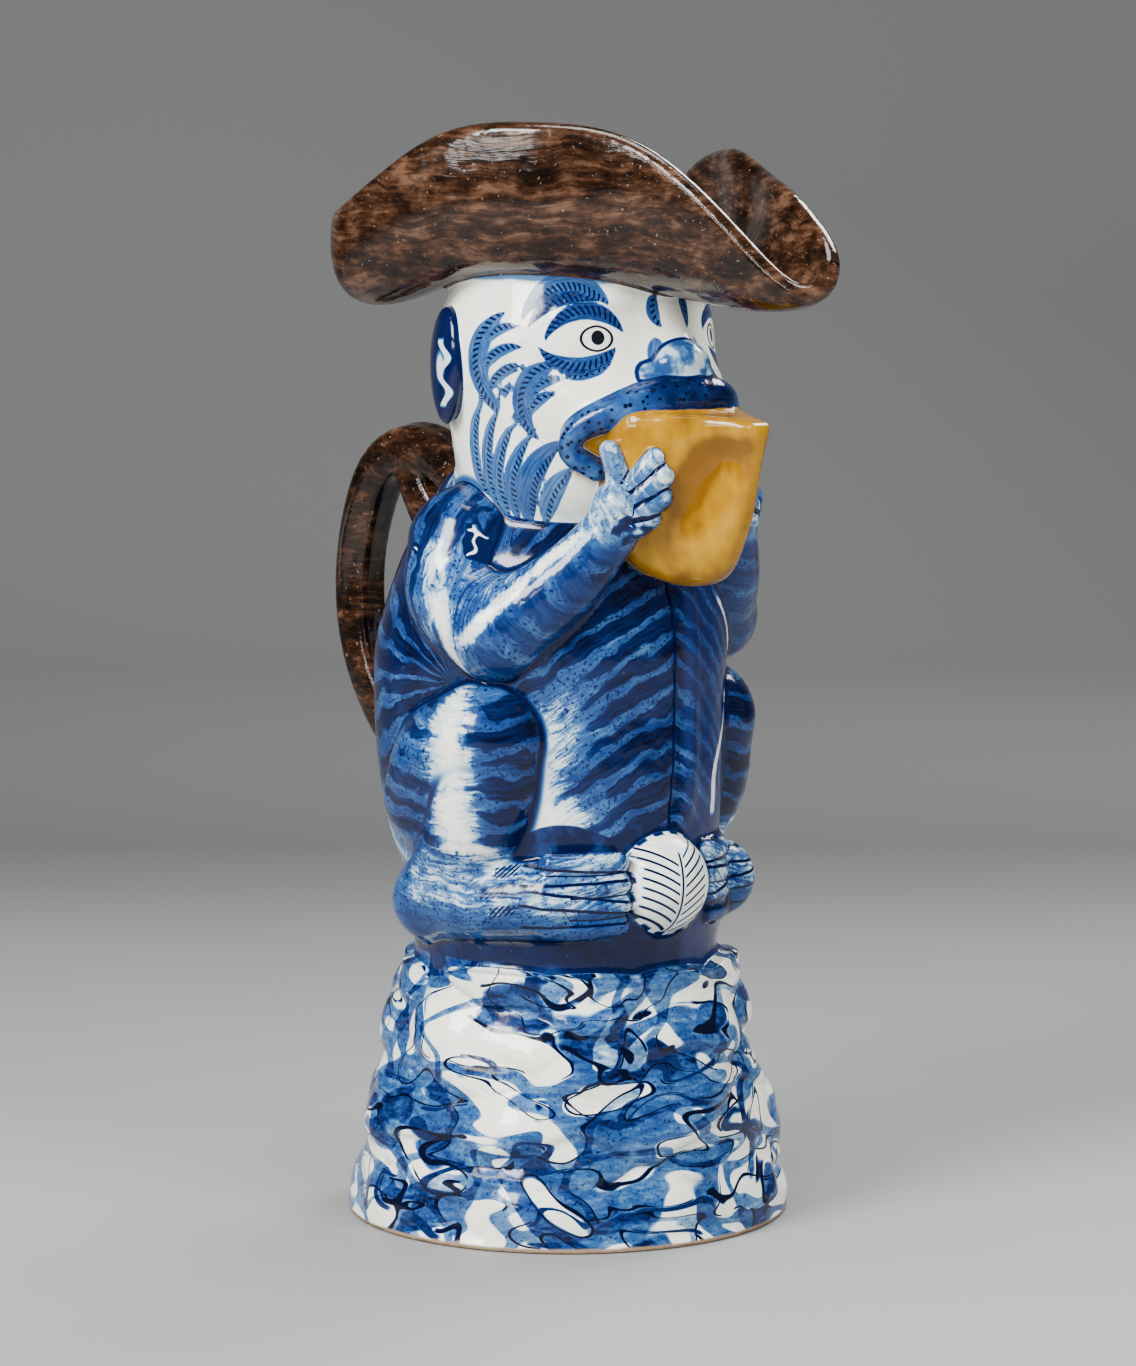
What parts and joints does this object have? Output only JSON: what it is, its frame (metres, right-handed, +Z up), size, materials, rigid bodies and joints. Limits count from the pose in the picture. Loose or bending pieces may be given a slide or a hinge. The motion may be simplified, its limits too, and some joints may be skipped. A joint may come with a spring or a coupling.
{
  "type": "figural jug",
  "caption": "Tin-glazed earthenware jug shaped as a seated monkey eating a fruit, with a three-cornered hat for its mouth and a forked stem handle.",
  "frame": {"origin": "centre of the flat unglazed underside of the foot", "axes": "+Z up, -Y the way the monkey looks, +X to the monkey's left"},
  "size_m": [0.1069, 0.1734, 0.2606],
  "materials": {
    "tin_glaze": "glossy white tin glaze painted in blue, brown and yellow"
  },
  "bodies": {
    "root": {"jug": "tin_glaze"}
  },
  "joints": []
}
